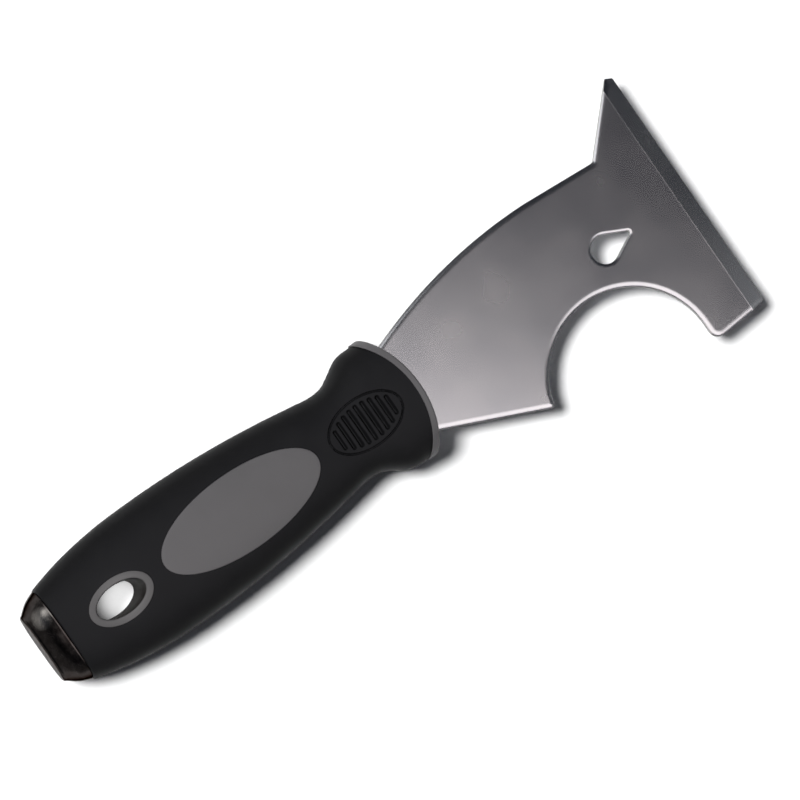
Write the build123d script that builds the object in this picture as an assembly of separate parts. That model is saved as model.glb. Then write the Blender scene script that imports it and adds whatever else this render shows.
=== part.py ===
from build123d import *

import os
from math import cos, hypot, pi, sin

# A painter's multi tool: one stamped steel blade whose tang runs the whole length of the
# handle, two hard core halves riveted to the tang, a soft rubber grip over them, and a
# steel hammer cap on the butt end.
#
# All sizes are in millimetres. While a piece is made, x runs along the handle from the
# hammer face (x = 0) to the scraping edge, y runs across towards the pointed tip, and
# z = 0 is the middle of the blade's thickness. The finished pieces are then moved so that
# the origin is under the tool's middle, on the surface that the tool lies on.

# Whole tool
LENGTH = 218.9
EDGE_WIDTH = 76.2
HANDLE_THICKNESS = 24.0

# Blade. Its tip is drawn TIP_RISE high, which the rounding of TIP_RADIUS takes off again
PLATE = 2.0
SPINE_RADIUS = 147.0
SPINE_CENTRE = (172.5, -124.0)
SPINE_END_X = 178.0
NOTCH = (200.4, 21.3)
NOTCH_RADIUS = 1.5
TIP_FLAT = (2.2, 1.0)
TIP_RADIUS = 0.4
TIP_RISE = 0.081
ROOT_LOWER_Y = -12.4
LOWER_CORNER = (152.7, -27.4)
LOWER_CORNER_RADIUS = 1.2
ROLLER_RADIUS = 24.3
ROLLER_CENTRE = (176.3, -33.0)
HORN_CORNER_RADIUS = 2.8
FOOT_SLOPE = 0.07
EDGE_LOW_RADIUS = 1.6
EDGE_HIGH_RADIUS = 0.6
BEVEL_WIDTH = 4.7
EDGE_THICKNESS = 0.2

# Nail hole, a teardrop that points at the scraping edge
NAIL_X = 189.35
NAIL_RADIUS = 4.1
NAIL_TIP_X = 197.1
NAIL_TIP_RADIUS = 0.7

# Tang, inside the handle
SHOULDER_X = 119.0
TANG_HALF_WIDTH = 9.0
EYE_HALF_WIDTH = 11.5
EYE_X = 36.0
TAIL_HALF_WIDTH = 8.5
TAIL_X = 12.6
TAIL_END_X = 3.0
TANG_CORNER_RADIUS = 1.5

# Outside of the grip: x, half width and half thickness of each cross-section, first from
# the seam with the cap to the neck, then from the neck over the flare
PALM_SECTIONS = (
    (6.8, 14.3, 9.5),
    (16.0, 16.6, 10.6),
    (28.0, 18.3, 11.4),
    (42.0, 18.8, 11.9),
    (56.0, 18.5, 12.0),
    (70.0, 17.5, 11.6),
    (84.0, 15.8, 10.9),
    (99.0, 13.6, 10.3),
)
FLARE_SECTIONS = (
    (99.0, 13.6, 10.3),
    (102.5, 14.0, 10.4),
    (106.5, 16.0, 10.7),
    (110.5, 18.1, 11.2),
    (115.0, 18.4, 11.5),
    (124.0, 18.1, 11.6),
)
SECTION_POWER = 2.5
SECTION_POINTS = 16
RUBBER_SIDE = 2.6
RUBBER_FACE = 2.2

# Core halves, hard plastic
CORE_FRONT_X = 113.0

# Front collar
GRIP_FRONT_X = 121.4
GRIP_FRONT_RADIUS = 31.0
COLLAR_FRONT_X = 123.1
COLLAR_FRONT_RADIUS = 36.0
COLLAR_HALF_WIDTH = 18.8
COLLAR_HALF_THICKNESS = 12.0
COLLAR_SPIGOT_HALF_WIDTH = 15.8
COLLAR_SPIGOT_HALF_THICKNESS = 8.9
COLLAR_SLOT_HALF_WIDTH = 14.6

# Hanging eyelet, an oval tube, a little off the handle's axis
EYELET_X = 23.75
EYELET_Y = -0.55
EYELET_OUTER = (9.6, 6.2)
EYELET_INNER = (7.4, 4.2)
EYELET_CLEARANCE = 0.2

# Inlaid pads
PAD_X = 63.5
PAD_RADII = (25.4, 10.55)

# Thumb rest: an oval groove around a row of cross slots, on both faces
THUMB_X = 105.0
THUMB_RADII = (11.6, 7.2)
GROOVE_WIDTH = 0.6
GROOVE_DEPTH = 0.5
SLOT_COUNT = 9
SLOT_PITCH = 2.1
SLOT_WIDTH = 1.2
SLOT_DEPTH = 0.8
SLOT_REACH = 3.0
SLOT_MARGIN = 1.5

# Rivets through the core halves and the tang
RIVET_XS = (46.0, 81.0, 103.0)
RIVET_RADIUS = 2.0
RIVET_HEAD_RADIUS = 3.5
RIVET_HEAD_LEVEL = 7.0

# Hammer cap
CAP_SECTIONS = ((0.0, 10.0, 5.0), (3.4, 12.6, 7.8), (6.8, 14.2, 9.4))
CAP_SPIGOT_HALF_WIDTH = 11.6
CAP_SPIGOT_HALF_THICKNESS = 7.2
CAP_PIN_X = 9.8
CAP_PIN_Y = 4.6
CAP_PIN_RADIUS = 1.25
CAP_PIN_HALF_LENGTH = 6.6

SEAM_X = PALM_SECTIONS[0][0]

# Cutting bodies run past the piece by OVERRUN, or right out of the tool by CLEAR
OVERRUN = 1.0
CLEAR = 60.0


def section(x, half_width, half_thickness):
    """A rounded cross-section of the handle, a closed curve across the x axis."""
    points = []
    for step in range(SECTION_POINTS):
        angle = 2 * pi * step / SECTION_POINTS
        across = abs(cos(angle)) ** (2 / SECTION_POWER) * half_width
        up = abs(sin(angle)) ** (2 / SECTION_POWER) * half_thickness
        points.append((across if cos(angle) > 0 else -across, up if sin(angle) > 0 else -up))
    plane = Plane(origin=(x, 0, 0), x_dir=(0, 1, 0), z_dir=(1, 0, 0))
    return plane * make_face(Spline(*points, periodic=True))


def loft_through(sections, inset_side, inset_face):
    """A smooth body through cross-sections, each made smaller by the insets."""
    return loft([section(x, w - inset_side, t - inset_face) for x, w, t in sections])


def handle_body(inset_side=0.0, inset_face=0.0):
    """The filled outside of the grip, or a smaller body inside it."""
    palm = loft_through(PALM_SECTIONS, inset_side, inset_face)
    return palm + loft_through(FLARE_SECTIONS, inset_side, inset_face)


def face_height(x):
    """Half the handle's thickness where the flare's surface crosses y = 0."""
    sizes = [(place, thickness) for place, _, thickness in PALM_SECTIONS[:-1] + FLARE_SECTIONS]
    for (x_a, z_a), (x_b, z_b) in zip(sizes, sizes[1:]):
        if x_a <= x <= x_b:
            return z_a + (z_b - z_a) * (x - x_a) / (x_b - x_a)
    raise ValueError(f"{x} is off the handle")


def straight_body(x_start, x_end, half_width, half_thickness):
    """A body of one cross-section from x_start to x_end."""
    return extrude(section(x_start, half_width, half_thickness), x_end - x_start)


def block(x_start, x_end, half_width, z_low, z_high):
    """A plain box centred on y = 0."""
    centre = Pos((x_start + x_end) / 2, 0, (z_low + z_high) / 2)
    return centre * Box(x_end - x_start, 2 * half_width, z_high - z_low)


def upright(sketch):
    """A plan outline carried up and down through the whole thickness."""
    return extrude(sketch, CLEAR, both=True)


def oval(x, radii):
    """An oval plan outline centred on the handle's axis."""
    return Pos(x, 0) * Ellipse(*radii)


def eyelet_oval(radii):
    """An oval plan outline on the eyelet's own axis."""
    return Pos(EYELET_X, EYELET_Y) * Ellipse(*radii)


def behind_arc(front_x, radius):
    """The space behind an upright wall that bulges forward, with its crown at front_x."""
    centre_x = front_x - radius
    wall = upright(Pos(centre_x, 0) * Circle(radius))
    return wall + block(-CLEAR, centre_x + radius / 2, CLEAR / 2, -CLEAR, CLEAR)


def blade_outline():
    """The part of the blade in front of its shoulder."""
    half_edge = EDGE_WIDTH / 2
    spine_x, spine_y = SPINE_CENTRE

    def spine_at(x):
        return (x, spine_y + (SPINE_RADIUS**2 - (x - spine_x) ** 2) ** 0.5)

    roller_x, roller_y = ROLLER_CENTRE
    lower_root = (SHOULDER_X, ROOT_LOWER_Y)
    roller_top = (roller_x, roller_y + ROLLER_RADIUS)
    horn_x = roller_x + ROLLER_RADIUS
    roller_end = (horn_x, roller_y)
    # The horn's foot slopes up to the edge, and its rounded corner is the blade's lowest point
    foot_y = -half_edge - HORN_CORNER_RADIUS * (FOOT_SLOPE + hypot(1, FOOT_SLOPE) - 1)
    horn_foot = (horn_x, foot_y)
    edge_low = (LENGTH, foot_y + FOOT_SLOPE * (LENGTH - horn_x))
    edge_high = (LENGTH, half_edge - TIP_FLAT[1])
    tip = (LENGTH - TIP_FLAT[0], half_edge + TIP_RISE)
    spine_root = spine_at(SHOULDER_X)
    spine_end = spine_at(SPINE_END_X)
    spine_middle = spine_at((SHOULDER_X + SPINE_END_X) / 2)

    lines = [
        Line(lower_root, LOWER_CORNER),
        ThreePointArc(LOWER_CORNER, roller_top, roller_end),
        Polyline(roller_end, horn_foot, edge_low, edge_high, tip, NOTCH, spine_end),
        ThreePointArc(spine_end, spine_middle, spine_root),
        Line(spine_root, lower_root),
    ]
    outline = make_face(Curve() + lines)
    for corner, radius in (
        (LOWER_CORNER, LOWER_CORNER_RADIUS),
        (horn_foot, HORN_CORNER_RADIUS),
        (edge_low, EDGE_LOW_RADIUS),
        (edge_high, EDGE_HIGH_RADIUS),
        (tip, TIP_RADIUS),
        (NOTCH, NOTCH_RADIUS),
    ):
        vertex = outline.vertices().sort_by_distance((*corner, 0))[0]
        outline = fillet(vertex, radius)
    return outline


def tang_outline():
    """The hidden tang: narrow through the neck, wide around the eyelet, with a short tail."""
    half = [
        (SHOULDER_X + OVERRUN, TANG_HALF_WIDTH),
        (EYE_X + EYE_HALF_WIDTH - TANG_HALF_WIDTH, TANG_HALF_WIDTH),
        (EYE_X, EYE_HALF_WIDTH),
        (TAIL_X, EYE_HALF_WIDTH),
        (TAIL_X, TAIL_HALF_WIDTH),
        (TAIL_END_X, TAIL_HALF_WIDTH),
    ]
    other = [(x, -y) for x, y in reversed(half)]
    outline = make_face(Polyline(*half, *other, close=True))
    ends = outline.vertices().group_by(Axis.X)[0]
    return fillet(ends, TANG_CORNER_RADIUS)


def nail_hole():
    """The teardrop: a round end and a small pointed end under one tight outline."""
    round_end = Pos(NAIL_X, 0) * Circle(NAIL_RADIUS)
    pointed_end = Pos(NAIL_TIP_X, 0) * Circle(NAIL_TIP_RADIUS)
    return make_hull(round_end.edges() + pointed_end.edges())


def bevel_waste():
    """The wedge that is ground off the top face along the scraping edge."""
    start = LENGTH - BEVEL_WIDTH
    top = PLATE / 2
    drop = PLATE - EDGE_THICKNESS
    past = LENGTH + OVERRUN
    above = top + OVERRUN
    wedge = Polyline(
        (start, top),
        (LENGTH, top - drop),
        (past, top - drop),
        (past, above),
        (start, above),
        close=True,
    )
    return extrude(Plane.XZ * make_face(wedge), EDGE_WIDTH, both=True)


def columns(places, radius):
    """Upright round columns at plan positions."""
    return upright(Sketch() + [Pos(*place) * Circle(radius) for place in places])


def rivet_columns(radius):
    """One column at each rivet."""
    return columns([(x, 0) for x in RIVET_XS], radius)


def pin_shanks():
    """The two columns that the cap's pins fill."""
    return columns([(CAP_PIN_X, CAP_PIN_Y), (CAP_PIN_X, -CAP_PIN_Y)], CAP_PIN_RADIUS)


def blade():
    """The stamped plate: exposed blade and full-length tang in one."""
    flat = blade_outline() + tang_outline() - nail_hole()
    window = [radius + EYELET_CLEARANCE for radius in EYELET_OUTER]
    flat -= eyelet_oval(window)
    plate = extrude(flat, PLATE / 2, both=True)
    return plate - bevel_waste() - rivet_columns(RIVET_RADIUS) - pin_shanks()


def grip_body():
    """The whole outside of the rubber grip, filled."""
    return handle_body() & behind_arc(GRIP_FRONT_X, GRIP_FRONT_RADIUS)


def core_body():
    """The hard core, filled, before it is split and cut."""
    full = handle_body(RUBBER_SIDE, RUBBER_FACE)
    return full & block(TAIL_X, CORE_FRONT_X, CLEAR / 2, -CLEAR, CLEAR)


def eyelet_tube():
    """The hanging eyelet's oval wall, taller than the handle."""
    return upright(eyelet_oval(EYELET_OUTER) - eyelet_oval(EYELET_INNER))


def rivets(core):
    """Shanks and heads, the heads flush with the core's outside."""
    between_heads = block(0, LENGTH, CLEAR, -RIVET_HEAD_LEVEL, RIVET_HEAD_LEVEL)
    heads = rivet_columns(RIVET_HEAD_RADIUS) - between_heads
    return (rivet_columns(RIVET_RADIUS) + heads) & core


def hammer_cap():
    """Solid steel cap with a spigot that goes into the grip and a slot for the tang's tail."""
    outside = loft([section(*size) for size in CAP_SECTIONS])
    spigot = straight_body(SEAM_X, TAIL_X, CAP_SPIGOT_HALF_WIDTH, CAP_SPIGOT_HALF_THICKNESS)
    slot = block(TAIL_END_X, TAIL_X, TAIL_HALF_WIDTH, -PLATE / 2, PLATE / 2)
    return outside + spigot - slot - pin_shanks()


def cap_pins():
    """Two pins through the cap's spigot and the tang's tail."""
    return pin_shanks() & block(0, LENGTH, CLEAR, -CAP_PIN_HALF_LENGTH, CAP_PIN_HALF_LENGTH)


def collar_spigot():
    """The back of the collar, which the grip wraps."""
    spigot = straight_body(
        CORE_FRONT_X, COLLAR_FRONT_X, COLLAR_SPIGOT_HALF_WIDTH, COLLAR_SPIGOT_HALF_THICKNESS
    )
    return spigot & behind_arc(GRIP_FRONT_X, GRIP_FRONT_RADIUS)


def front_collar():
    """The grey lip in front of the rubber, with its spigot and the slot for the blade."""
    past = COLLAR_FRONT_X + OVERRUN
    lip = straight_body(CORE_FRONT_X, past, COLLAR_HALF_WIDTH, COLLAR_HALF_THICKNESS)
    lip &= behind_arc(COLLAR_FRONT_X, COLLAR_FRONT_RADIUS)
    lip -= behind_arc(GRIP_FRONT_X, GRIP_FRONT_RADIUS)
    slot = block(CORE_FRONT_X, LENGTH, COLLAR_SLOT_HALF_WIDTH, -PLATE / 2, PLATE / 2)
    return lip + collar_spigot() - slot


def pad_space():
    """The windows that the two pads fill, between the grip's outside and the core."""
    return upright(oval(PAD_X, PAD_RADII))


def thumb_groove():
    """The oval groove around the thumb rest, an even depth below both faces."""
    outer = oval(THUMB_X, THUMB_RADII)
    inner = oval(THUMB_X, [radius - GROOVE_WIDTH for radius in THUMB_RADII])
    return upright(outer - inner) - handle_body(GROOVE_DEPTH, GROOVE_DEPTH)


def thumb_slots():
    """The row of flat-bottomed cross slots in both faces."""
    long_radius, short_radius = [radius - SLOT_MARGIN for radius in THUMB_RADII]
    slots = Part()
    for number in range(SLOT_COUNT):
        offset = (number - (SLOT_COUNT - 1) / 2) * SLOT_PITCH
        length = 2 * short_radius * (1 - (offset / long_radius) ** 2) ** 0.5
        outline = Rot(0, 0, 90) * SlotOverall(length, SLOT_WIDTH)
        floor = face_height(THUMB_X + offset) - SLOT_DEPTH
        for side in (floor, -floor - SLOT_REACH):
            slots += Pos(THUMB_X + offset, 0, side) * extrude(outline, SLOT_REACH)
    return slots


def soft_grip(core):
    """The rubber sleeve, with windows for the pads and the eyelet."""
    cap_spigot = straight_body(SEAM_X, TAIL_X, CAP_SPIGOT_HALF_WIDTH, CAP_SPIGOT_HALF_THICKNESS)
    sleeve = grip_body() - core - cap_spigot - collar_spigot()
    sleeve -= upright(eyelet_oval(EYELET_OUTER))
    return sleeve - pad_space() - thumb_groove() - thumb_slots()


def upper(shape):
    """The half of a shape above the blade's middle plane."""
    return shape & block(0, LENGTH, CLEAR, 0, CLEAR)


def lower(shape):
    """The half of a shape below the blade's middle plane."""
    return shape & block(0, LENGTH, CLEAR, -CLEAR, 0)


def write(name, shape):
    """Puts a finished piece in the tool's own frame and writes it."""
    placed = Pos(-LENGTH / 2, 0, HANDLE_THICKNESS / 2) * shape
    export_step(placed, f"parts/{name}.step")


def main():
    os.makedirs("parts", exist_ok=True)
    core = core_body()
    tang_space = extrude(tang_outline(), PLATE / 2, both=True)
    rivet_set = rivets(core)
    core_cut = core - tang_space - rivet_set - upright(eyelet_oval(EYELET_OUTER))
    pads = (grip_body() & pad_space()) - core
    write("blade", blade())
    write("core_upper", upper(core_cut))
    write("core_lower", lower(core_cut))
    write("tang_rivets", rivet_set)
    write("front_collar", front_collar())
    write("soft_grip", soft_grip(core))
    write("pad_upper", upper(pads))
    write("pad_lower", lower(pads))
    write("hang_eyelet", eyelet_tube() & grip_body())
    write("hammer_cap", hammer_cap())
    write("cap_pins", cap_pins())


main()
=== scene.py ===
"""The painter's multi tool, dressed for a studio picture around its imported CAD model.

Shapes are worked out in millimetres, with x from the hammer face (x = 0) to the scraping
edge and z = 0 in the middle of the blade's thickness. to_frame() puts them in the shared
frame, in metres.
"""
import math

import bmesh
import bpy
import numpy as np
from mathutils import Matrix, Vector
from mathutils.geometry import tessellate_polygon


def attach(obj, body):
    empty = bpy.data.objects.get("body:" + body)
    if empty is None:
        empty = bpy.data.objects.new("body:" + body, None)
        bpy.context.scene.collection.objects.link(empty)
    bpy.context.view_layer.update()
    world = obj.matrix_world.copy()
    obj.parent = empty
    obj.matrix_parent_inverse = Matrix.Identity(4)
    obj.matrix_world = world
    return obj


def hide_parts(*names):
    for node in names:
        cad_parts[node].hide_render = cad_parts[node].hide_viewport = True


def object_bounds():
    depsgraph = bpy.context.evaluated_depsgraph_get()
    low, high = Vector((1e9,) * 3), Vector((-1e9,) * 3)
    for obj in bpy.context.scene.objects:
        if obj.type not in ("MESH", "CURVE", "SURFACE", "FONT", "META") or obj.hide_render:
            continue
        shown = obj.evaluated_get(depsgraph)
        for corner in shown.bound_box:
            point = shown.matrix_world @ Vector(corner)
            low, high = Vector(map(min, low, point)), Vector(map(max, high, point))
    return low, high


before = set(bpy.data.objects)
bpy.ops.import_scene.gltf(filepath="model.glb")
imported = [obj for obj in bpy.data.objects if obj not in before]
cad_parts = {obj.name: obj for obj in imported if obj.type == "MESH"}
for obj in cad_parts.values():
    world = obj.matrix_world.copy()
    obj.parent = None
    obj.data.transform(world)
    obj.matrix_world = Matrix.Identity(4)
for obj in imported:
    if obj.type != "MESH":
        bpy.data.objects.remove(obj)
CAD_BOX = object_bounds()

MM = 0.001
LOW, HIGH = [Vector(corner) / MM for corner in CAD_BOX]
LENGTH = HIGH.x - LOW.x
EDGE_WIDTH = -2 * LOW.y
REST_HEIGHT = (HIGH.z - LOW.z) / 2

# Blade
PLATE = 2.0
SPINE_RADIUS = 147.0
SPINE_CENTRE = (172.5, -124.0)
SPINE_END_X = 178.0
NOTCH = (200.4, 21.3)
NOTCH_RADIUS = 1.5
TIP_FLAT = (2.2, 1.0)
TIP_RADIUS = 0.4
TIP_RISE = 0.081
ROOT_LOWER_Y = -12.4
LOWER_CORNER = (152.7, -27.4)
LOWER_CORNER_RADIUS = 1.2
ROLLER_RADIUS = 24.3
ROLLER_CENTRE = (176.3, -33.0)
HORN_CORNER_RADIUS = 2.8
FOOT_SLOPE = 0.07
EDGE_LOW_RADIUS = 1.6
EDGE_HIGH_RADIUS = 0.6
NAIL_X = 189.35
NAIL_RADIUS = 4.1
NAIL_TIP_X = 197.1
NAIL_TIP_RADIUS = 0.7

# Ground bevel along the scraping edge, with the low burr behind it. The blade's long faces
# are cut into STRIP_COUNT strips across, so that the burr and the bevel shade evenly.
BEVEL_WIDTH = 4.7
EDGE_THICKNESS = 0.2
BURR_WIDTH = 0.4
BURR_HEIGHT = 0.018
STRIP_COUNT = 10

# Rolled-over upper rim left by the stamping, and the crisper lower one. Past about 1.8 mm
# the roll would use up the tip's short flat, and the inset outline would cross itself.
ROLL_WIDTH = 1.75
HOLE_ROLL_WIDTH = 0.95
ROLL_SLOPE = math.radians(34)
ROLL_POWER = 1.5
ROLL_STEPS = 14
LOWER_ROUNDING = 0.15

# Tang inside the handle
SHOULDER_X = 119.0
TANG_HALF_WIDTH = 9.0
EYE_HALF_WIDTH = 11.5
EYE_X = 36.0
TAIL_HALF_WIDTH = 8.5
TAIL_X = 12.6
TAIL_END_X = 3.0
EYE_GAP = 0.2

# Grip: x, half width and half thickness of its outside
GRIP_STATIONS = (
    (6.8, 14.3, 9.5),
    (11.0, 15.45, 10.1),
    (16.0, 16.6, 10.6),
    (28.0, 18.3, 11.4),
    (42.0, 18.8, 11.9),
    (56.0, 18.5, 11.98),
    (70.0, 17.5, 11.6),
    (84.0, 15.8, 10.9),
    (93.0, 14.4, 10.45),
    (99.0, 13.6, 10.3),
    (102.5, 14.0, 10.4),
    (106.5, 16.0, 10.7),
    (110.5, 18.1, 11.2),
    (115.0, 18.4, 11.5),
    (124.0, 18.1, 11.6),
)
SECTION_POWER = 2.5
RUBBER_SIDE = 2.6
RUBBER_FACE = 2.2
GRIP_FRONT_X = 121.4
GRIP_FRONT_RADIUS = 31.0
GRIP_LIP = 0.45
SEAM_X = GRIP_STATIONS[0][0]
CORE_FRONT_X = 113.0

# Collar
COLLAR_FRONT_X = 123.1
COLLAR_FRONT_RADIUS = 36.0
COLLAR_SIZE = (18.8, 12.0)
COLLAR_SPIGOT = (15.8, 8.9)
COLLAR_SLOT = (14.6, 1.0)
COLLAR_REAR_ROUNDING = 0.3
COLLAR_FRONT_ROUNDING = 0.5
SLOT_POWER = 9.0

# Inlays
EYELET_X = 23.75
EYELET_Y = -0.55
EYELET_OUTER = (9.6, 6.2)
EYELET_INNER = (7.4, 4.2)
EYELET_OUTER_ROUNDING = 0.2
EYELET_INNER_ROUNDING = 0.55
PAD_X = 63.5
PAD_RADII = (25.4, 10.55)
PAD_ROUNDING = 0.2
INLAY_GAP = 0.06

# Thumb rest
THUMB_X = 105.0
THUMB_RADII = (11.6, 7.2)
GROOVE_WIDTH = 0.62
GROOVE_DEPTH = 0.5
GROOVE_STEEPNESS = 1.6
SLOT_COUNT = 9
SLOT_PITCH = 2.1
SLOT_WIDTH = 1.35
SLOT_DEPTH = 1.1
SLOT_MARGIN = 1.5
SLOT_WALL = 0.55

# Hammer cap: x, half width, half thickness
CAP_STATIONS = ((0.0, 10.0, 5.0), (3.4, 12.6, 7.8), (6.8, 14.1, 9.35))
CAP_SPIGOT = (11.6, 7.2)
CAP_FACE_ROUNDING = 0.5
CAP_SHOULDER_ROUNDING = 0.32
# Centre of the highlight painted on the cap's upper face
CAP_PAINTED_HIGHLIGHT_AT = (3.9, 7.2, 7.0)

# How finely roundings and corners are drawn
ROUND_STEPS = 5
CORNER_STEPS = 9

# Edges sharper than this many degrees stay crisp. The blade's ground bevel is a shallow one.
CRISP_ANGLE = 35
BLADE_CRISP_ANGLE = 16

# Points closer than this, in millimetres, are one point
MERGE = 0.001

# How far a cutting tool reaches past what it cuts
OVERRUN = 2.0

# Camera, in the same millimetres
CAMERA_AT = (-143.3, 79.3, 1250.0)
CAMERA_TARGET = (118.4, -1.1, 0.0)
CAMERA_ROLL = math.radians(35.45)
CAMERA_LENS = 212.9
SENSOR = 36.0

# Studio floor and lights: places and sizes in metres, except the two in millimetres that
# aim the lamp over the hanging hole
FLOOR_REACH = 1.5
KEY_DIRECTION = (-0.42, 0.35, 1.0)
KEY_STRENGTH = 4.38
KEY_SPREAD = math.radians(15)
SHEEN_EDGE_AT = (0.125, -0.05, 0.5)
SHEEN_TURN = math.radians(42)
SHEEN_SIZE = (0.42, 0.8)
SHEEN_RADIANCE = 1.75
SIDE_AT = (-0.2, 0.34, 0.45)
SIDE_TARGET = (0.08, 0.02, 0.01)
SIDE_SIZE = (0.42, 0.42)
SIDE_RADIANCE = 1.5
LOW_AT = (0.405, -0.11, 0.193)
LOW_TARGET = (0.107, -0.055, 0.012)
LOW_SIZE = (0.1, 0.1)
LOW_RADIANCE = 0.38
HOLE_LIGHT_AT = (-75.0, 60.0, 900.0)
HOLE_TARGET = (27.0, -2.0, -12.0)
HOLE_CONE = math.radians(0.52)
HOLE_STRENGTH = 30.0
HOLE_LAMP_RADIUS = 0.002
ROLL_UP = Vector((0, 1, 0.01))
WARM = (1.0, 0.94, 0.93)
WALL_TOP = 0.15
CEILING_START = 0.6
WALL_LIGHT = 0.25
CEILING_LIGHT = (0.012, 0.015, 0.022)

# Numbers of a Mix node's colour sockets
MIX_FIRST = 6
MIX_SECOND = 7
MIX_RESULT = 2


def to_frame(points):
    """Points in the drawing's millimetres, as an array in the shared frame in metres."""
    return (np.asarray(points, float) + (-LENGTH / 2, 0, REST_HEIGHT)) * MM


# ---------------------------------------------------------------- meshes

def mesh_piece(name, points, faces):
    """A new object from points in drawing millimetres, its faces turned outwards."""
    mesh = bpy.data.meshes.new(name)
    mesh.from_pydata([tuple(p) for p in to_frame(points)], [], faces)
    mesh.validate()
    piece = bpy.data.objects.new(name, mesh)
    bpy.context.scene.collection.objects.link(piece)
    close_normals(mesh)
    return piece


def close_normals(mesh):
    """Joins points that coincide and turns every face outwards."""
    work = bmesh.new()
    work.from_mesh(mesh)
    bmesh.ops.remove_doubles(work, verts=work.verts, dist=MERGE * MM / 10)
    bmesh.ops.recalc_face_normals(work, faces=work.faces)
    work.to_mesh(mesh)
    work.free()


def smooth(piece, angle):
    """Smooth shading, crisp past an angle in degrees, flat faces kept flat by weighted normals."""
    piece.data.shade_smooth()
    piece.data.set_sharp_from_angle(angle=math.radians(angle))
    weighted = piece.modifiers.new("weighted", "WEIGHTED_NORMAL")
    weighted.keep_sharp = True
    weighted.weight = 100


def bake_shape(piece):
    """Applies a piece's modifiers to its mesh."""
    seen = piece.evaluated_get(bpy.context.evaluated_depsgraph_get())
    shaped = bpy.data.meshes.new_from_object(seen)
    piece.modifiers.clear()
    piece.data = shaped


def ring_faces(ring_count, size, closed):
    """Quads between neighbouring rings of points, and from the last to the first if closed."""
    faces = []
    for ring in range(ring_count if closed else ring_count - 1):
        after = (ring + 1) % ring_count
        for step in range(size):
            ahead = (step + 1) % size
            faces.append(
                (ring * size + step, ring * size + ahead, after * size + ahead, after * size + step)
            )
    return faces


def tube_piece(name, rings):
    """A closed ring-shaped piece from rings that run over its outside and back inside."""
    rings = np.asarray(rings)
    faces = ring_faces(len(rings), rings.shape[1], closed=True)
    return mesh_piece(name, rings.reshape(-1, 3), faces)


def capped_piece(name, rings):
    """A solid piece from rings, with a flat face at each end."""
    rings = np.asarray(rings)
    count, size = rings.shape[:2]
    faces = ring_faces(count, size, closed=False)
    faces.append(tuple(range(size)))
    faces.append(tuple(range((count - 1) * size, count * size)))
    return mesh_piece(name, rings.reshape(-1, 3), faces)


def cut(piece, tools):
    """Takes tools away from a piece and removes the tools."""
    for tool in tools:
        boolean = piece.modifiers.new(tool.name, "BOOLEAN")
        boolean.object = tool
        boolean.operation = "DIFFERENCE"
        boolean.solver = "EXACT"
    bake_shape(piece)
    for tool in tools:
        bpy.data.objects.remove(tool)


# ---------------------------------------------------------------- handle surface

def through(stations, x):
    """Smooth values through stations (place, value...), for an array of places."""
    table = np.asarray(stations, float)
    places = table[:, 0]
    values = table[:, 1:]
    slopes = np.gradient(values, places, axis=0)
    x = np.clip(x, places[0], places[-1])
    index = np.clip(np.searchsorted(places, x) - 1, 0, len(places) - 2)
    span = places[index + 1] - places[index]
    t = ((x - places[index]) / span)[..., None]
    span = span[..., None]
    start = values[index]
    end = values[index + 1]
    return (
        (2 * t**3 - 3 * t**2 + 1) * start
        + (t**3 - 2 * t**2 + t) * span * slopes[index]
        + (3 * t**2 - 2 * t**3) * end
        + (t**3 - t**2) * span * slopes[index + 1]
    )


def signed_power(value, power):
    return np.sign(value) * np.abs(value) ** power


def section_points(angles, half_width, half_thickness, power=SECTION_POWER):
    """y and z around a rounded section."""
    y = signed_power(np.cos(angles), 2 / power) * half_width
    z = signed_power(np.sin(angles), 2 / power) * half_thickness
    return y, z


def arc_back(y, radius):
    """How far a forward-bulging arc has fallen back at y."""
    return radius - np.sqrt(radius**2 - y**2)


def grip_ring(angles, x, inset_side=0.0, inset_face=0.0, share=None):
    """A ring on the grip's surface. share, from 0 to 1, leans it towards the curved front."""
    places = np.full(angles.shape, float(x))
    for _ in range(3 if share else 1):
        size = through(GRIP_STATIONS, places)
        y, z = section_points(angles, size[..., 0] - inset_side, size[..., 1] - inset_face)
        if share:
            places = x - share * arc_back(y, GRIP_FRONT_RADIUS)
    return np.stack([places, y, z], -1)


def surface_height(x, y, inset_side=0.0, inset_face=0.0):
    """Height of the handle's upper face above a plan point."""
    size = through(GRIP_STATIONS, x)
    half_width = size[..., 0] - inset_side
    half_thickness = size[..., 1] - inset_face
    inside = np.clip(1 - (np.abs(y) / half_width) ** SECTION_POWER, 0, 1)
    return half_thickness * inside ** (1 / SECTION_POWER)


def sleeve_angles():
    """Angles round the grip, close together over the two thumb rests."""
    start, end = math.radians(62), math.radians(118)
    fine = np.linspace(start, end, 90, endpoint=False)
    side = np.linspace(end, start + math.pi, 56, endpoint=False)
    half = np.concatenate([fine, side])
    return np.concatenate([half, half + math.pi])


def even_angles(count):
    return np.linspace(0, 2 * math.pi, count, endpoint=False)


def quarter_turn(count=ROUND_STEPS):
    """Angles from 0 to 90 degrees, for a rounding."""
    return np.linspace(0, math.pi / 2, count)


def oval_gap(x, y, centre_x, radii):
    """Distance from an oval, positive outside, good near its edge."""
    u = (x - centre_x) / radii[0]
    v = y / radii[1]
    reach = np.maximum(np.hypot(u, v), 1e-6)
    steepness = np.hypot(u / radii[0], v / radii[1]) / reach
    return (reach - 1) / np.maximum(steepness, 1e-6)


def soft_step(value):
    value = np.clip(value, 0, 1)
    return value * value * (3 - 2 * value)


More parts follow.
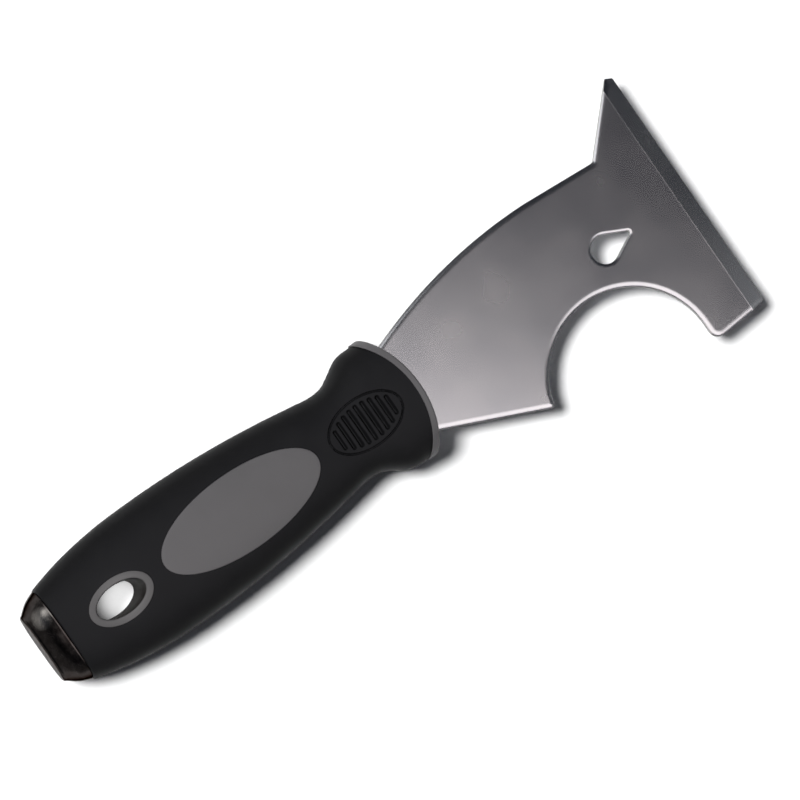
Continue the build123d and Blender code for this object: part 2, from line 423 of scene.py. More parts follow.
def thumb_depth(x, y):
    """How far the thumb rest's groove and slots go below the grip's surface."""
    middle = [radius - GROOVE_WIDTH / 2 for radius in THUMB_RADII]
    off_groove = np.abs(oval_gap(x, y, THUMB_X, middle)) / (GROOVE_WIDTH / 2)
    depth = GROOVE_DEPTH * soft_step(GROOVE_STEEPNESS * (1 - off_groove))
    long_radius, short_radius = [radius - SLOT_MARGIN for radius in THUMB_RADII]
    for number in range(SLOT_COUNT):
        offset = (number - (SLOT_COUNT - 1) / 2) * SLOT_PITCH
        half = short_radius * math.sqrt(1 - (offset / long_radius) ** 2) - SLOT_WIDTH / 2
        beyond = np.maximum(np.abs(y) - half, 0)
        gap = SLOT_WIDTH / 2 - np.hypot(x - THUMB_X - offset, beyond)
        depth = np.maximum(depth, SLOT_DEPTH * soft_step(gap / SLOT_WALL))
    return depth


def press_thumb_rest(ring):
    """Lowers a ring's points into the groove and slots, on both faces."""
    depth = thumb_depth(ring[:, 0], ring[:, 1])
    on_face = np.abs(ring[:, 1]) < THUMB_RADII[1] + 1
    ring[:, 2] -= np.where(on_face, np.sign(ring[:, 2]) * depth, 0)
    return ring


# ---------------------------------------------------------------- pieces

def oval_column(name, centre, radii, z_low, z_high):
    """A plain upright oval column, a cutting tool."""
    angles = even_angles(160)
    x = centre[0] + radii[0] * np.cos(angles)
    y = centre[1] + radii[1] * np.sin(angles)
    rings = [np.stack([x, y, np.full(x.shape, z)], -1) for z in (z_low, z_high)]
    return capped_piece(name, rings)


def grown(radii, amount):
    return [radius + amount for radius in radii]


def make_grip():
    """The rubber sleeve: outside, curved front end, inside, with its windows cut."""
    angles = sleeve_angles()
    rings = []
    for turn in quarter_turn():
        inset = GRIP_LIP * (1 - math.sin(turn))
        rings.append(grip_ring(angles, SEAM_X + GRIP_LIP * (1 - math.cos(turn)), inset, inset))
    lean_x = THUMB_X - THUMB_RADII[0] - 1
    for x in np.linspace(SEAM_X + GRIP_LIP, lean_x, 74)[1:]:
        rings.append(grip_ring(angles, x))
    for x in np.linspace(lean_x, GRIP_FRONT_X, 140)[1:]:
        share = soft_step((x - lean_x) / (GRIP_FRONT_X - lean_x))
        rings.append(press_thumb_rest(grip_ring(angles, x, share=share)))
    inside = (RUBBER_SIDE, RUBBER_FACE)
    y, z = section_points(angles, *COLLAR_SPIGOT)
    front = GRIP_FRONT_X - arc_back(y, GRIP_FRONT_RADIUS)
    rings.append(np.stack([front, y, z], -1))
    rings.append(np.stack([np.full(y.shape, CORE_FRONT_X), y, z], -1))
    for x in np.linspace(CORE_FRONT_X, TAIL_X, 30):
        rings.append(grip_ring(angles, x, *inside))
    y, z = section_points(angles, *CAP_SPIGOT)
    for x in (TAIL_X, SEAM_X):
        rings.append(np.stack([np.full(y.shape, x), y, z], -1))
    grip = tube_piece("grip_sleeve", rings)
    reach = REST_HEIGHT + OVERRUN
    shallow = REST_HEIGHT - 3 * RUBBER_FACE
    eyelet = (EYELET_X, EYELET_Y)
    tools = [oval_column("eyelet_way", eyelet, grown(EYELET_OUTER, INLAY_GAP), -reach, reach)]
    pad_radii = grown(PAD_RADII, INLAY_GAP)
    tools.append(oval_column("upper_window", (PAD_X, 0), pad_radii, shallow, reach))
    tools.append(oval_column("lower_window", (PAD_X, 0), pad_radii, -reach, -shallow))
    cut(grip, tools)
    return grip


def make_pad(name, side):
    """An oval inlay that follows the grip outside and the core inside."""
    angles = even_angles(192)
    rings = []

    def layer(share, radii, drop, on_core=False):
        x = PAD_X + share * radii[0] * np.cos(angles)
        y = share * radii[1] * np.sin(angles)
        inset = (RUBBER_SIDE, RUBBER_FACE) if on_core else (0, 0)
        z = surface_height(x, y, *inset) - drop
        rings.append(np.stack([x, y, side * z], -1))

    inner = grown(PAD_RADII, -PAD_ROUNDING)
    middle = 0.02
    for share in np.linspace(middle, 1, 26):
        layer(share, inner, 0)
    for turn in quarter_turn()[1:]:
        radii = grown(inner, PAD_ROUNDING * math.sin(turn))
        layer(1, radii, PAD_ROUNDING * (1 - math.cos(turn)))
    layer(1, PAD_RADII, 0, on_core=True)
    for share in np.linspace(1, middle, 20)[1:]:
        layer(share, PAD_RADII, 0, on_core=True)
    return capped_piece(name, rings)


def make_eyelet():
    """The oval tube through the handle, its rims following the grip's faces."""
    angles = even_angles(144)
    outer = np.asarray(EYELET_OUTER)
    inner = np.asarray(EYELET_INNER)
    rings = []

    def rim_ring(radii, drop, side):
        x = EYELET_X + radii[0] * np.cos(angles)
        y = EYELET_Y + radii[1] * np.sin(angles)
        z = surface_height(x, y) - drop
        rings.append(np.stack([x, y, side * z], -1))

    small = EYELET_OUTER_ROUNDING
    large = EYELET_INNER_ROUNDING
    turns = quarter_turn()
    outside = [(outer - small * (1 - math.cos(t)), small * (1 - math.sin(t))) for t in turns]
    inside = [(inner + large * (1 - math.sin(t)), large * (1 - math.cos(t))) for t in turns]
    for side in (1, -1):
        for radii, drop in (outside + inside)[::side]:
            rim_ring(radii, drop, side)
    return tube_piece("hang_eyelet_tube", rings)


def make_collar():
    """The lip in front of the rubber, the slot that the blade fills, and the spigot behind."""
    angles = even_angles(240)
    rings = []

    def arc_ring(size, front_x, radius, power=SECTION_POWER):
        y, z = section_points(angles, *size, power)
        rings.append(np.stack([front_x - arc_back(y, radius), y, z], -1))

    def flat_ring(size, x, power=SECTION_POWER):
        y, z = section_points(angles, *size, power)
        rings.append(np.stack([np.full(y.shape, float(x)), y, z], -1))

    arc_ring(COLLAR_SPIGOT, GRIP_FRONT_X, GRIP_FRONT_RADIUS)
    for turn in quarter_turn():
        size = grown(COLLAR_SIZE, -COLLAR_REAR_ROUNDING * (1 - math.sin(turn)))
        x = GRIP_FRONT_X + COLLAR_REAR_ROUNDING * (1 - math.cos(turn))
        arc_ring(size, x, GRIP_FRONT_RADIUS)
    for turn in quarter_turn(ROUND_STEPS + 2):
        size = grown(COLLAR_SIZE, -COLLAR_FRONT_ROUNDING * (1 - math.cos(turn)))
        x = COLLAR_FRONT_X - COLLAR_FRONT_ROUNDING * (1 - math.sin(turn))
        arc_ring(size, x, COLLAR_FRONT_RADIUS)
    squaring = 5
    for share in (0.5, 0.85):
        size = [lip + share * (slot - lip) for lip, slot in zip(COLLAR_SIZE, COLLAR_SLOT)]
        power = SECTION_POWER + share * squaring
        arc_ring(size, COLLAR_FRONT_X, COLLAR_FRONT_RADIUS, power)
    arc_ring(COLLAR_SLOT, COLLAR_FRONT_X, COLLAR_FRONT_RADIUS, SLOT_POWER)
    flat_ring(COLLAR_SLOT, CORE_FRONT_X, SLOT_POWER)
    flat_ring(COLLAR_SPIGOT, CORE_FRONT_X)
    return tube_piece("front_collar_lip", rings)


def make_cap():
    """The steel cap: flat face, softly bulged sides, shoulder at the grip, spigot."""
    angles = even_angles(240)
    rings = []

    def ring(x, half_width, half_thickness):
        y, z = section_points(angles, half_width, half_thickness)
        rings.append(np.stack([np.full(y.shape, float(x)), y, z], -1))

    edge = CAP_FACE_ROUNDING
    shoulder = CAP_SHOULDER_ROUNDING
    face = CAP_STATIONS[0]
    for share in (0.3, 0.6, 0.9):
        ring(0, face[1] * share, face[2] * share)
    side_start = through(CAP_STATIONS, np.array([edge]))[0]
    for turn in quarter_turn(ROUND_STEPS + 2):
        blend = math.sin(turn)
        size = [
            (flat - edge) * (1 - blend) + side * blend for flat, side in zip(face[1:], side_start)
        ]
        ring(edge * (1 - math.cos(turn)), *size)
    for x in np.linspace(edge, SEAM_X - shoulder, 18)[1:]:
        ring(x, *through(CAP_STATIONS, np.array([x]))[0])
    last = through(CAP_STATIONS, np.array([SEAM_X - shoulder]))[0]
    for turn in quarter_turn()[1:]:
        shrink = shoulder * (1 - math.cos(turn))
        ring(SEAM_X - shoulder * (1 - math.sin(turn)), last[0] - shrink, last[1] - shrink)
    ring(SEAM_X, *CAP_SPIGOT)
    ring(TAIL_X, *CAP_SPIGOT)
    cap = capped_piece("hammer_cap_steel", rings)
    cut(cap, [slot_tool()])
    return cap


def slot_tool():
    """The space of the tang's tail inside the cap."""
    half_y, half_z = TAIL_HALF_WIDTH, PLATE / 2
    corners = [(-half_y, -half_z), (half_y, -half_z), (half_y, half_z), (-half_y, half_z)]
    rings = [[(x, y, z) for y, z in corners] for x in (TAIL_END_X, TAIL_X + OVERRUN / 2)]
    return capped_piece("tail_slot", rings)


# ---------------------------------------------------------------- blade

def arc_points(centre, radius, start, end, count):
    """Points on an arc between two angles in degrees."""
    angles = np.radians(np.linspace(start, end, count))
    return [(centre[0] + radius * math.cos(a), centre[1] + radius * math.sin(a)) for a in angles]


def corner_arc(before, corner, after, radius):
    """The corner replaced by an arc of the radius that touches both sides."""
    corner = np.asarray(corner)
    to_before = np.subtract(before, corner)
    to_before /= np.linalg.norm(to_before)
    to_after = np.subtract(after, corner)
    to_after /= np.linalg.norm(to_after)
    middle = to_before + to_after
    middle /= np.linalg.norm(middle)
    half = math.acos(to_before @ middle)
    centre = corner + middle * radius / math.sin(half)
    reach = math.pi / 2 - half
    side = math.copysign(1, middle[0] * to_before[1] - middle[1] * to_before[0])
    points = []
    for turn in np.linspace(side * reach, -side * reach, CORNER_STEPS):
        c, s = math.cos(turn), math.sin(turn)
        arm = np.array((c * middle[0] + s * middle[1], c * middle[1] - s * middle[0]))
        points.append(tuple(centre - radius * arm))
    return points


def spine_point(x):
    return (x, SPINE_CENTRE[1] + math.sqrt(SPINE_RADIUS**2 - (x - SPINE_CENTRE[0]) ** 2))


def blade_corners():
    """The plate's outline with its tang, anticlockwise: x, y and rounding radius."""
    half = EDGE_WIDTH / 2
    roller_x, roller_y = ROLLER_CENTRE
    corner_angle = math.degrees(
        math.atan2(LOWER_CORNER[1] - roller_y, LOWER_CORNER[0] - roller_x)
    )
    roller_arc = arc_points(ROLLER_CENTRE, ROLLER_RADIUS, corner_angle, 0, 72)
    past_corner = 4
    horn_x = roller_x + ROLLER_RADIUS
    foot_y = -half - HORN_CORNER_RADIUS * (FOOT_SLOPE + math.hypot(1, FOOT_SLOPE) - 1)
    edge_low_y = foot_y + FOOT_SLOPE * (LENGTH - horn_x)
    wide_x = EYE_X + EYE_HALF_WIDTH - TANG_HALF_WIDTH
    corners = [
        (TAIL_END_X, -TAIL_HALF_WIDTH, 0),
        (TAIL_X, -TAIL_HALF_WIDTH, 0),
        (TAIL_X, -EYE_HALF_WIDTH, 0),
        (EYE_X, -EYE_HALF_WIDTH, 0),
        (wide_x, -TANG_HALF_WIDTH, 0),
        (SHOULDER_X, -TANG_HALF_WIDTH, 0),
        (SHOULDER_X, ROOT_LOWER_Y, 0),
        (*LOWER_CORNER, LOWER_CORNER_RADIUS),
    ]
    corners += [(x, y, 0) for x, y in roller_arc[past_corner:]]
    corners += [
        (horn_x, foot_y, HORN_CORNER_RADIUS),
        (LENGTH, edge_low_y, EDGE_LOW_RADIUS),
        (LENGTH, half - TIP_FLAT[1], EDGE_HIGH_RADIUS),
        (LENGTH - TIP_FLAT[0], half + TIP_RISE, TIP_RADIUS),
        (*NOTCH, NOTCH_RADIUS),
    ]
    spine = [spine_point(x) for x in np.linspace(SPINE_END_X, SHOULDER_X, 60)]
    corners += [(x, y, 0) for x, y in spine]
    corners += [
        (SHOULDER_X, TANG_HALF_WIDTH, 0),
        (wide_x, TANG_HALF_WIDTH, 0),
        (EYE_X, EYE_HALF_WIDTH, 0),
        (TAIL_X, EYE_HALF_WIDTH, 0),
        (TAIL_X, TAIL_HALF_WIDTH, 0),
        (TAIL_END_X, TAIL_HALF_WIDTH, 0),
    ]
    return corners


def nail_hole_corners():
    """The teardrop, clockwise from its round end's lower tangent point."""
    lean = math.degrees(math.acos((NAIL_RADIUS - NAIL_TIP_RADIUS) / (NAIL_TIP_X - NAIL_X)))
    round_end = arc_points((NAIL_X, 0), NAIL_RADIUS, 360 - lean, lean, 72)
    pointed_end = arc_points((NAIL_TIP_X, 0), NAIL_TIP_RADIUS, lean, -lean, 16)
    return [(x, y, 0) for x, y in round_end + pointed_end]


def eye_window_corners():
    """The tang's window round the eyelet, clockwise."""
    angles = even_angles(96)[::-1]
    radii = grown(EYELET_OUTER, EYE_GAP)
    return [
        (EYELET_X + radii[0] * math.cos(a), EYELET_Y + radii[1] * math.sin(a), 0) for a in angles
    ]


def inset_outline(corners, inset):
    """The outline moved into the metal: true mitres, and roundings that stay parallel."""
    places = np.array([corner[:2] for corner in corners])
    radii = np.array([corner[2] for corner in corners])
    along = np.roll(places, -1, axis=0) - places
    along /= np.linalg.norm(along, axis=1, keepdims=True)
    inward = np.stack([-along[:, 1], along[:, 0]], -1)
    before = np.roll(inward, 1, axis=0)
    lean = 1 + (before * inward).sum(1, keepdims=True)
    moved = places + inset * (before + inward) / lean
    convex = before[:, 0] * inward[:, 1] - before[:, 1] * inward[:, 0] > 0
    points = []
    for index, radius in enumerate(radii):
        if radius == 0:
            points.append(tuple(moved[index]))
            continue
        parallel = max(radius - inset, MERGE) if convex[index] else radius + inset
        after = moved[(index + 1) % len(moved)]
        points += corner_arc(moved[index - 1], moved[index], after, parallel)
    return points


def rim_profile(roll_width):
    """Inset and height from the lower face, up the cut side and over the rolled rim."""
    profile = []
    for turn in quarter_turn(ROUND_STEPS - 1):
        inset = LOWER_ROUNDING * (1 - math.sin(turn))
        profile.append((inset, -PLATE / 2 + LOWER_ROUNDING * (1 - math.cos(turn))))
    insets = np.linspace(0, roll_width, ROLL_STEPS)
    fine = np.linspace(0, roll_width, 400)
    slopes = np.tan(ROLL_SLOPE * (1 - fine / roll_width) ** ROLL_POWER)
    climb = np.concatenate([[0], np.cumsum((slopes[1:] + slopes[:-1]) / 2 * np.diff(fine))])
    heights = PLATE / 2 - climb[-1] + np.interp(insets, fine, climb)
    return profile + list(zip(insets, heights))


def roll_share(x):
    """How much of the rolled rim the ground bevel leaves at this place on the outline."""
    return min(max((LENGTH - x) / BEVEL_WIDTH, 0), 1)


def make_blade():
    """The stamped plate: rims swept along its outlines, flat faces between them, ground edge."""
    outlines = [
        (blade_corners(), ROLL_WIDTH),
        (nail_hole_corners(), HOLE_ROLL_WIDTH),
        (eye_window_corners(), HOLE_ROLL_WIDTH),
    ]
    points = []
    faces = []
    lower_loops = []
    upper_loops = []
    for corners, roll_width in outlines:
        start = len(points)
        profile = rim_profile(roll_width)
        shares = [roll_share(x) for x, _ in inset_outline(corners, 0)]
        rings = []
        for inset, z in profile:
            drop = PLATE / 2 - z
            rings.append(
                [
                    (x, y, PLATE / 2 - drop * share if z > 0 else z)
                    for (x, y), share in zip(inset_outline(corners, inset), shares)
                ]
            )
        size = len(rings[0])
        faces += [
            tuple(start + index for index in face)
            for face in ring_faces(len(rings), size, closed=False)
        ]
        for ring in rings:
            points += ring
        lower_loops.append(range(start, start + size))
        upper_loops.append(range(len(points) - size, len(points)))
    for loops in (lower_loops, upper_loops):
        order = [index for loop in loops for index in loop]
        triangles = tessellate_polygon([[Vector(points[index]) for index in loop] for loop in loops])
        faces += [tuple(order[corner] for corner in triangle) for triangle in triangles]
    mesh = bpy.data.meshes.new("blade_plate")
    mesh.from_pydata(points, [], faces)
    grind(mesh)
    piece = bpy.data.objects.new("blade_plate", mesh)
    bpy.context.scene.collection.objects.link(piece)
    return piece


def grind(mesh):
    """Cuts the bevel on the upper face along the scraping edge and moves the mesh to the frame."""
    work = bmesh.new()
    work.from_mesh(mesh)
    bmesh.ops.remove_doubles(work, verts=work.verts, dist=MERGE)
    start = LENGTH - BEVEL_WIDTH
    cuts = [((x, 0, 0), (1, 0, 0)) for x in (start - BURR_WIDTH, start - BURR_WIDTH / 2, start)]
    reach = EDGE_WIDTH / 2 - 2 * ROLL_WIDTH
    cuts += [((0, y, 0), (0, 1, 0)) for y in np.linspace(-reach, reach, STRIP_COUNT + 1)]
    for place, across in cuts:
        everything = work.verts[:] + work.edges[:] + work.faces[:]
        bmesh.ops.bisect_plane(work, geom=everything, plane_co=place, plane_no=across)
    slope = (PLATE + BURR_HEIGHT - EDGE_THICKNESS) / BEVEL_WIDTH
    for vertex in work.verts:
        past = vertex.co.x - start
        if past > 0 and vertex.co.z > LOWER_ROUNDING - PLATE / 2 + MERGE:
            vertex.co.z += BURR_HEIGHT - slope * past
        elif vertex.co.z > PLATE / 2 - MERGE:
            vertex.co.z += BURR_HEIGHT * max(1 + past / BURR_WIDTH, 0) ** 2
    bmesh.ops.remove_doubles(work, verts=work.verts, dist=MERGE)
    place = Matrix.Scale(MM, 4) @ Matrix.Translation((-LENGTH / 2, 0, REST_HEIGHT))
    bmesh.ops.transform(work, matrix=place, verts=work.verts)
    bmesh.ops.recalc_face_normals(work, faces=work.faces)
    work.to_mesh(mesh)
    work.free()


# ---------------------------------------------------------------- materials

class Paint:
    """A node material and short ways to add nodes to it."""

    def __init__(self, name):
        self.material = bpy.data.materials.new(name)
        self.material.use_nodes = True
        self.nodes = self.material.node_tree.nodes
        self.links = self.material.node_tree.links
        self.shader = self.nodes["Principled BSDF"]
        self.place = self.nodes.new("ShaderNodeTexCoord").outputs["Object"]

    def join(self, source, target):
        self.links.new(source, target)

    def set(self, **sockets):
        """Sets the shader's own sockets, underscores standing for spaces."""
        for name, value in sockets.items():
            self.shader.inputs[name.replace("_", " ")].default_value = value

    def noise(self, scale, detail, roughness, stretch=(1, 1, 1)):
        """A noise pattern of a scale per metre, stretched along the axes."""
        mapping = self.nodes.new("ShaderNodeMapping")
        mapping.inputs["Scale"].default_value = stretch
        texture = self.nodes.new("ShaderNodeTexNoise")
        texture.inputs["Scale"].default_value = scale
        texture.inputs["Detail"].default_value = detail
        texture.inputs["Roughness"].default_value = roughness
        self.join(self.place, mapping.inputs["Vector"])
        self.join(mapping.outputs["Vector"], texture.inputs["Vector"])
        return texture.outputs["Fac"]

    def spread(self, value, low, high, start=0.3, end=0.7):
        """A value moved from start..end to low..high."""
        node = self.nodes.new("ShaderNodeMapRange")
        node.inputs["From Min"].default_value = start
        node.inputs["From Max"].default_value = end
        node.inputs["To Min"].default_value = low
        node.inputs["To Max"].default_value = high
        self.join(value, node.inputs["Value"])
        return node.outputs["Result"]

    def math(self, operation, first, second=None):
        node = self.nodes.new("ShaderNodeMath")
        node.operation = operation
        for socket, value in zip(node.inputs, (first, second)):
            if isinstance(value, (int, float)):
                socket.default_value = value
            elif value is not None:
                self.join(value, socket)
        return node.outputs["Value"]

    def blend(self, share, first, second):
        """A colour between two colours, each a tuple or an output."""
        node = self.nodes.new("ShaderNodeMix")
        node.data_type = "RGBA"
        self.join(share, node.inputs["Factor"])
        for index, value in ((MIX_FIRST, first), (MIX_SECOND, second)):
            if isinstance(value, tuple):
                node.inputs[index].default_value = (*value, 1)
            else:
                self.join(value, node.inputs[index])
        return node.outputs[MIX_RESULT]

    def tilt(self):
        """How level the surface is: 1 on flat faces, 0 on upright sides."""
        split = self.nodes.new("ShaderNodeSeparateXYZ")
        self.join(self.nodes.new("ShaderNodeNewGeometry").outputs["Normal"], split.inputs["Vector"])
        return self.math("ABSOLUTE", split.outputs["Z"])

    def distance(self, place):
        """How far the surface is from a place in drawing millimetres, in metres."""
        node = self.nodes.new("ShaderNodeVectorMath")
        node.operation = "DISTANCE"
        self.join(self.nodes.new("ShaderNodeNewGeometry").outputs["Position"], node.inputs[0])
        node.inputs[1].default_value = to_frame([place])[0]
        return node.outputs["Value"]

    def bump(self, height, strength, distance):
        node = self.nodes.new("ShaderNodeBump")
        node.inputs["Strength"].default_value = strength
        node.inputs["Distance"].default_value = distance
        self.join(height, node.inputs["Height"])
        self.join(node.outputs["Normal"], self.shader.inputs["Normal"])

    def colour(self, output):
        self.join(output, self.shader.inputs["Base Color"])

    def metallic(self, output):
        self.join(output, self.shader.inputs["Metallic"])

    def roughness(self, output):
        self.join(output, self.shader.inputs["Roughness"])


def blade_steel():
    """Satin stainless sheet with faint clouds, and duller cut sides."""
    paint = Paint("blade_steel")
    clouds = paint.noise(70, 1.5, 0.5)
    tone = paint.blend(paint.spread(clouds, 0, 1, 0, 1), (0.50, 0.508, 0.54), (0.63, 0.626, 0.64))
    cut_side = paint.spread(paint.tilt(), 1, 0, 0.25, 0.5)
    paint.colour(paint.blend(cut_side, tone, (0.4, 0.4, 0.39)))
    paint.metallic(paint.spread(cut_side, 1, 0.1, 0, 1))
    rough = paint.spread(clouds, 0.24, 0.29, 0, 1)
    paint.roughness(paint.math("ADD", rough, paint.spread(cut_side, 0, 0.3, 0, 1)))
    return paint.material


def cap_steel():
    """Dark polished steel, mottled and finely scratched, with painted shade on its upright sides and a
    highlight painted bright at one place.
    """
    paint = Paint("cap_steel")
    paint.set(Metallic=1.0, Specular_Tint=(0.3, 0.28, 0.27, 1))
    mottle = paint.noise(420, 5, 0.65)
    scratches = paint.noise(2500, 2, 0.5, stretch=(1, 0.08, 1))
    tone = paint.blend(paint.spread(mottle, 0, 1), (0.035, 0.029, 0.027), (0.075, 0.068, 0.066))
    # The upright sides are painted darker, as shade
    tone = paint.blend(paint.spread(paint.tilt(), 0, 1, 0.0, 0.8), (0.014, 0.012, 0.011), tone)
    # A highlight painted into the colour, bright round one place on the cap's upper face
    painted_highlight = paint.spread(paint.distance(CAP_PAINTED_HIGHLIGHT_AT), 1, 0, 0.0006, 0.0034)
    paint.colour(paint.blend(painted_highlight, tone, (0.7, 0.66, 0.62)))
    paint.roughness(paint.spread(mottle, 0.16, 0.3))
    paint.bump(paint.math("ADD", mottle, scratches), 0.12, 0.00003)
    return paint.material


def black_rubber():
    """Soft matte rubber with a fine moulded grain, its upright sides painted darker as shade."""
    paint = Paint("black_rubber")
    paint.set(Specular_IOR_Level=0.09)
    grain = paint.noise(5200, 2, 0.6)
    patches = paint.noise(90, 3, 0.55)
    tone = paint.blend(paint.spread(patches, 0, 1), (0.0082, 0.0082, 0.0092), (0.0106, 0.0106, 0.0116))
    # The upright sides are painted darker, as shade
    paint.colour(paint.blend(paint.spread(paint.tilt(), 0, 1, 0.7, 1), (0.005, 0.005, 0.0055), tone))
    paint.roughness(paint.spread(patches, 0.52, 0.62))
    paint.bump(grain, 0.18, 0.00004)
    return paint.material


def grey_plastic(shade_painted_bore=False):
    """Hard grey plastic with an even spark-eroded texture, its bore painted near-black as shade if
    asked.
    """
    paint = Paint("eyelet_plastic" if shade_painted_bore else "grey_plastic")
    paint.set(Specular_IOR_Level=0.4)
    grain = paint.noise(6500, 2, 0.55)
    patches = paint.noise(120, 3, 0.5)
    tone = paint.blend(paint.spread(patches, 0, 1), (0.075, 0.072, 0.075), (0.083, 0.080, 0.083))
    if shade_painted_bore:
        # The bore's upright wall is painted near-black as shade, and its reflection turned down to
        # match
        upright = paint.spread(paint.tilt(), 1, 0, 0.2, 0.6)
        tone = paint.blend(upright, (0.064, 0.062, 0.063), (0.009, 0.007, 0.006))
        paint.join(paint.spread(upright, 0.4, 0.03, 0, 1), paint.shader.inputs["Specular IOR Level"])
    paint.colour(tone)
    paint.roughness(paint.spread(patches, 0.5, 0.6))
    paint.bump(grain, 0.15, 0.00004)
    return paint.material


def fastener_metal(name, tone, roughness):
    """Plain bright metal for the hidden pins and rivets."""
    paint = Paint(name)
    paint.set(Metallic=1.0)
    turning = paint.noise(1800, 2, 0.5, stretch=(1, 1, 0.1))
    dark = tuple(channel * 0.85 for channel in tone)
    paint.colour(paint.blend(paint.spread(turning, 0, 1), dark, tone))
    paint.roughness(paint.spread(turning, roughness - 0.05, roughness + 0.08))
    return paint.material


def floor_paper():
    """Plain white studio paper."""
    paint = Paint("floor_paper")
    fibres = paint.noise(700, 3, 0.6)
    paint.set(Specular_IOR_Level=0.1)
    paint.colour(paint.blend(paint.spread(fibres, 0, 1), (0.90, 0.90, 0.90), (0.92, 0.92, 0.92)))
    paint.roughness(paint.spread(fibres, 0.85, 0.95))
    return paint.material


# ---------------------------------------------------------------- studio

def facing(direction, roll_up):
    """A rotation that looks along direction with roll_up as its up side."""
    back = -direction.normalized()
    up = (roll_up - back * roll_up.dot(back)).normalized()
    right = up.cross(back)
    return Matrix((right, up, back)).transposed().to_4x4()


def make_camera():
    """The camera at the reference angle: a long lens, high over the handle's butt end."""
    at, target = [Vector(p) for p in to_frame([CAMERA_AT, CAMERA_TARGET])]
    forward = (target - at).normalized()
    along = (Vector((1, 0, 0)) - forward * forward.x).normalized()
    across = along.cross(forward)
    if across.y < 0:
        across = -across
    up = math.sin(CAMERA_ROLL) * along + math.cos(CAMERA_ROLL) * across
    data = bpy.data.cameras.new("camera")
    data.sensor_width = SENSOR
    data.lens = CAMERA_LENS
    data.clip_start = 0.05
    data.clip_end = 20
    camera = bpy.data.objects.new("camera", data)
    camera.matrix_world = Matrix.Translation(at) @ facing(forward, up)
    bpy.context.scene.collection.objects.link(camera)
    bpy.context.scene.camera = camera


def card_light(name, middle, size, radiance, colour):
    """A glowing card that only shows in reflections. middle is a full placement."""
    data = bpy.data.lights.new(name, "AREA")
    data.shape = "RECTANGLE"
    data.size, data.size_y = size
    data.energy = radiance * math.pi * size[0] * size[1]
    data.color = colour
    card = bpy.data.objects.new(name, data)
    card.matrix_world = middle
    card.visible_diffuse = False
    bpy.context.scene.collection.objects.link(card)


def sheen_card():
    """A broad warm card overhead on the butt's side, whose edge shades off across the steel."""
    back_off = Matrix.Translation((-SHEEN_SIZE[0] / 2, 0, 0))
    turn = Matrix.Rotation(SHEEN_TURN, 4, "Z")
    middle = Matrix.Translation(SHEEN_EDGE_AT) @ turn @ back_off
    card_light("sheen", middle, SHEEN_SIZE, SHEEN_RADIANCE, WARM)


def side_cards():
    """White cards beside the spine, for the rims that face it, and low in front of the bevel."""
    for name, at, target, size, radiance in (
        ("side", SIDE_AT, SIDE_TARGET, SIDE_SIZE, SIDE_RADIANCE),
        ("low", LOW_AT, LOW_TARGET, LOW_SIZE, LOW_RADIANCE),
    ):
        at = Vector(at)
        aim = facing(Vector(target) - at, Vector((0, 0, 1)))
        card_light(name, Matrix.Translation(at) @ aim, size, radiance, (1, 1, 1))


def key_light():
    """A large far light that fills the floor evenly and drops short soft shadows."""
    data = bpy.data.lights.new("key", "SUN")
    data.angle = KEY_SPREAD
    data.energy = KEY_STRENGTH
    light = bpy.data.objects.new("key", data)
    light.matrix_world = facing(-Vector(KEY_DIRECTION), ROLL_UP)
    light.visible_glossy = False
    bpy.context.scene.collection.objects.link(light)


def hole_light():
    """A narrow lamp over the hanging hole, so that the floor under it is lit through the tube."""
    data = bpy.data.lights.new("hole", "SPOT")
    data.energy = HOLE_STRENGTH
    data.spot_size = HOLE_CONE
    data.spot_blend = 1.0
    data.shadow_soft_size = HOLE_LAMP_RADIUS
    lamp = bpy.data.objects.new("hole", data)
    at, target = [Vector(place) for place in to_frame([HOLE_LIGHT_AT, HOLE_TARGET])]
    lamp.matrix_world = Matrix.Translation(at) @ facing(target - at, ROLL_UP)
    lamp.visible_glossy = False
    bpy.context.scene.collection.objects.link(lamp)


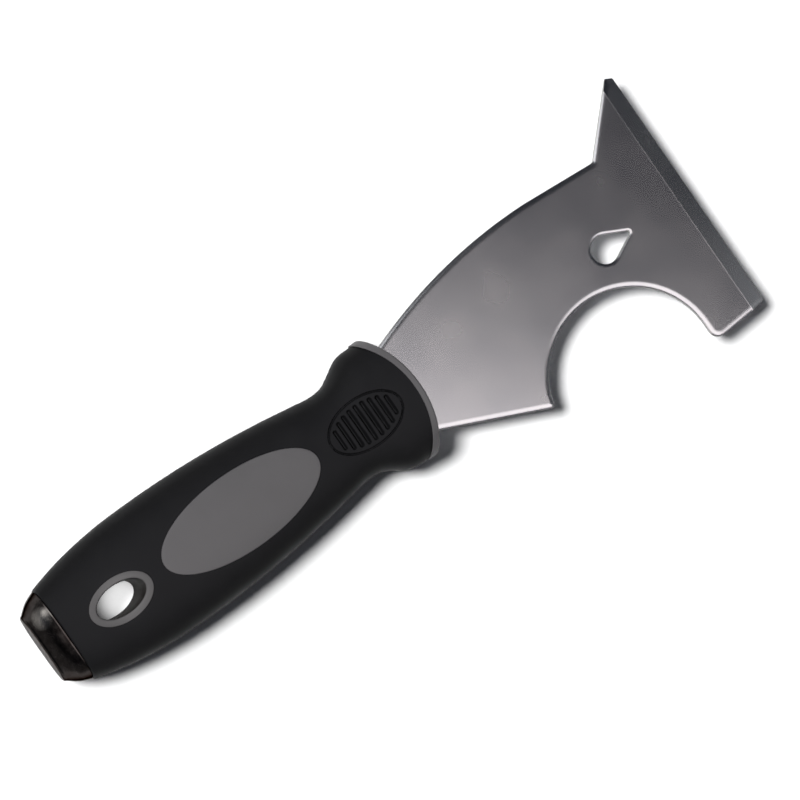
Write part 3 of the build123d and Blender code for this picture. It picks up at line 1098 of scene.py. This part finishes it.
def make_world():
    """A studio room: bright walls low down, a darker ceiling overhead."""
    world = bpy.data.worlds.new("studio")
    world.use_nodes = True
    nodes = world.node_tree.nodes
    links = world.node_tree.links
    direction = nodes.new("ShaderNodeTexCoord").outputs["Generated"]
    split = nodes.new("ShaderNodeSeparateXYZ")
    links.new(direction, split.inputs["Vector"])
    ramp = nodes.new("ShaderNodeValToRGB")
    ramp.color_ramp.interpolation = "EASE"
    ramp.color_ramp.elements[0].position = WALL_TOP
    ramp.color_ramp.elements[0].color = (*[WALL_LIGHT] * 3, 1)
    ramp.color_ramp.elements[1].position = CEILING_START
    ramp.color_ramp.elements[1].color = (*CEILING_LIGHT, 1)
    links.new(split.outputs["Z"], ramp.inputs["Fac"])
    links.new(ramp.outputs["Color"], nodes["Background"].inputs["Color"])
    bpy.context.scene.world = world


def make_studio():
    """The room, the lights and the white floor."""
    bpy.context.scene.view_settings.view_transform = "Standard"
    make_world()
    key_light()
    sheen_card()
    side_cards()
    hole_light()
    make_floor()


def make_floor():
    """A wide flat sheet at z = 0, under the tool."""
    signs = ((-1, -1), (1, -1), (1, 1), (-1, 1))
    corners = [(x * FLOOR_REACH, y * FLOOR_REACH, 0) for x, y in signs]
    floor = bpy.data.meshes.new("floor")
    floor.from_pydata(corners, [], [(0, 1, 2, 3)])
    floor.materials.append(floor_paper())
    stage = bpy.data.objects.new("floor", floor)
    bpy.context.scene.collection.objects.link(stage)


# ---------------------------------------------------------------- the tool

def dress(piece, material, node):
    """Gives a piece its material and its place in the part, instead of a CAD node."""
    piece.data.materials.clear()
    piece.data.materials.append(material)
    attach(piece, "root")
    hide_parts(node)


def dress_node(node, material):
    """Gives a carried-over CAD node a better material."""
    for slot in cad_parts[node].material_slots:
        slot.material = material


def main():
    make_camera()
    make_studio()
    grey = grey_plastic()
    pieces = (
        (make_blade(), blade_steel(), "blade_steel", "blade"),
        (make_grip(), black_rubber(), "black_rubber", "soft_grip"),
        (make_collar(), grey, "grey_plastic", "front_collar"),
        (make_eyelet(), grey_plastic(shade_painted_bore=True), "grey_plastic", "hang_eyelet"),
        (make_pad("pad_inlay_upper", 1), grey, "grey_plastic", "pad_upper"),
        (make_pad("pad_inlay_lower", -1), grey, "grey_plastic", "pad_lower"),
        (make_cap(), cap_steel(), "cap_steel", "hammer_cap"),
    )
    for piece, material, slot, node in pieces:
        dress(piece, material, node)
        smooth(piece, BLADE_CRISP_ANGLE if node == "blade" else CRISP_ANGLE)
        bake_shape(piece)
    dress_node("core_upper", grey)
    dress_node("core_lower", grey)
    dress_node("tang_rivets", fastener_metal("rivet_aluminium", (0.75, 0.75, 0.76), 0.35))
    dress_node("cap_pins", fastener_metal("pin_steel", (0.55, 0.55, 0.56), 0.3))


main()
